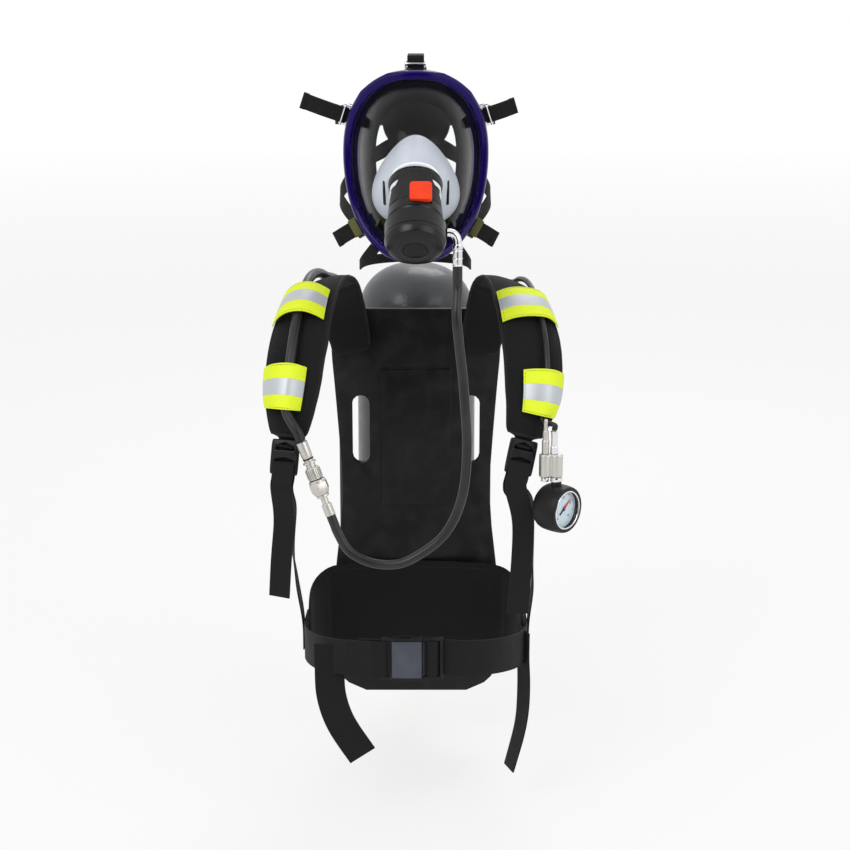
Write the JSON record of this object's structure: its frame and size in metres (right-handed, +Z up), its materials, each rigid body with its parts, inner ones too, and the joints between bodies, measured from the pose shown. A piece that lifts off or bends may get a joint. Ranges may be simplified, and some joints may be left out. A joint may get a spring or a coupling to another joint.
{
  "type": "breathing air pack",
  "caption": "Breathing air pack with a full-face mask, demand valve, padded harness, waist belt, pressure gauge and a cylinder on a back plate.",
  "frame": {"origin": "centre of the flat panel of the back plate that rests on the wearer's back", "axes": "+Z up, -Y the way the wearer faces, +X the wearer's left"},
  "size_m": [0.3654, 0.4879, 0.8698],
  "materials": {
    "rim_blue": "glossy",
    "clear": "clear",
    "rubber": "satin",
    "nose_grey": "matte",
    "moulded_black": "satin",
    "button_red": "satin",
    "chrome": "polished",
    "nickel": "plated",
    "webbing": "woven",
    "pad_cloth": "woven",
    "tape": "fluorescent with a silver stripe",
    "buckle_grey": "satin",
    "dial_white": "matte",
    "needle": "matte",
    "brass": "satin",
    "cylinder_grey": "satin"
  },
  "bodies": {
    "pack": {"mask_rim": "rim_blue", "visor": "clear", "face_seal": "rubber", "nose_cup": "nose_grey", "port_housing": "moulded_black", "inhale_disc": "rubber", "demand_valve_body": "moulded_black", "demand_valve_cover": "moulded_black", "diaphragm": "rubber", "valve_elbow": "chrome", "demand_hose": "rubber", "head_cap": "rubber", "strap_top": "webbing", "strap_temple_right": "webbing", "strap_temple_left": "webbing", "strap_cheek_right": "webbing", "strap_cheek_left": "webbing", "buckle_top": "chrome", "buckle_temple_right": "chrome", "buckle_temple_left": "chrome", "buckle_cheek_right": "chrome", "buckle_cheek_left": "chrome", "neck_strap": "webbing", "coupling_socket": "nickel", "supply_hose": "rubber", "gauge_hose": "rubber", "gauge_ferrule": "chrome", "gauge_manifold": "chrome", "whistle": "chrome", "shoulder_pad_right": "pad_cloth", "shoulder_pad_left": "pad_cloth", "tape_shoulder_right": "tape", "tape_shoulder_left": "tape", "tape_chest_right": "tape", "tape_chest_left": "tape", "adjuster_right": "moulded_black", "adjuster_left": "moulded_black", "pull_strap_right": "webbing", "pull_strap_left": "webbing", "lumbar_pad": "pad_cloth", "belt_right": "webbing", "belt_left": "webbing", "buckle_socket": "buckle_grey", "backplate": "moulded_black", "cylinder": "cylinder_grey", "cylinder_valve": "brass", "reducer": "brass", "cylinder_band": "webbing"},
    "shutoff": {"shutoff_button": "button_red"},
    "purge": {"purge_button": "rubber"},
    "sleeve": {"coupling_sleeve": "nickel"},
    "plug": {"coupling_plug": "nickel"},
    "gauge": {"gauge_boot": "rubber", "gauge_dial": "dial_white", "gauge_lens": "clear"},
    "needle": {"gauge_needle": "needle"},
    "tongue": {"buckle_tongue": "buckle_grey"},
    "handwheel": {"valve_handwheel": "rubber"},
    "nut": {"reducer_nut": "brass"},
    "lever": {"band_lever": "chrome"}
  },
  "joints": [
    {"name": "shutoff_press", "type": "slide", "parent": "pack", "child": "shutoff", "axis": [0, 0.7071, -0.7071], "range_m": [0, 0.003], "stiffness_N_per_m": 600},
    {"name": "purge_press", "type": "slide", "parent": "pack", "child": "purge", "axis": [0, 0.7071, 0.7071], "range_m": [0, 0.004], "stiffness_N_per_m": 500},
    {"name": "sleeve_slide", "type": "slide", "parent": "pack", "child": "sleeve", "axis": [-0.3593, 0.089, 0.929], "range_m": [0, 0.004], "stiffness_N_per_m": 800},
    {"name": "plug_pull", "type": "slide", "parent": "pack", "child": "plug", "axis": [0.3593, -0.089, -0.929], "range_m": [0, 0.03], "deforming": ["demand_hose"]},
    {"name": "gauge_swivel", "type": "hinge", "parent": "pack", "child": "gauge", "pos_m": [0.161, -0.258, -0.0135], "axis": [0, 0, 1], "range_deg": [-10, 35]},
    {"name": "needle_turn", "type": "hinge", "parent": "gauge", "child": "needle", "pos_m": [0.161, -0.258, -0.0135], "axis": [0.7431, -0.6691, 0], "range_deg": [-80, 185]},
    {"name": "buckle_release", "type": "slide", "parent": "pack", "child": "tongue", "axis": [1, 0, 0], "range_m": [0, 0.04], "deforming": ["belt_left"]},
    {"name": "handwheel_turn", "type": "hinge", "parent": "pack", "child": "handwheel", "pos_m": [-0.04, 0.1, -0.3423], "axis": [-1, 0, 0], "range_deg": [0, 720]},
    {"name": "nut_turn", "type": "hinge", "parent": "pack", "child": "nut", "pos_m": [0, 0.0426, -0.326], "axis": [0, 1, 0], "range_deg": [0, 360]},
    {"name": "lever_open", "type": "hinge", "parent": "pack", "child": "lever", "pos_m": [0.01703, 0.18011, 0.085], "axis": [0, 0, -1], "range_deg": [0, 90]}
  ]
}
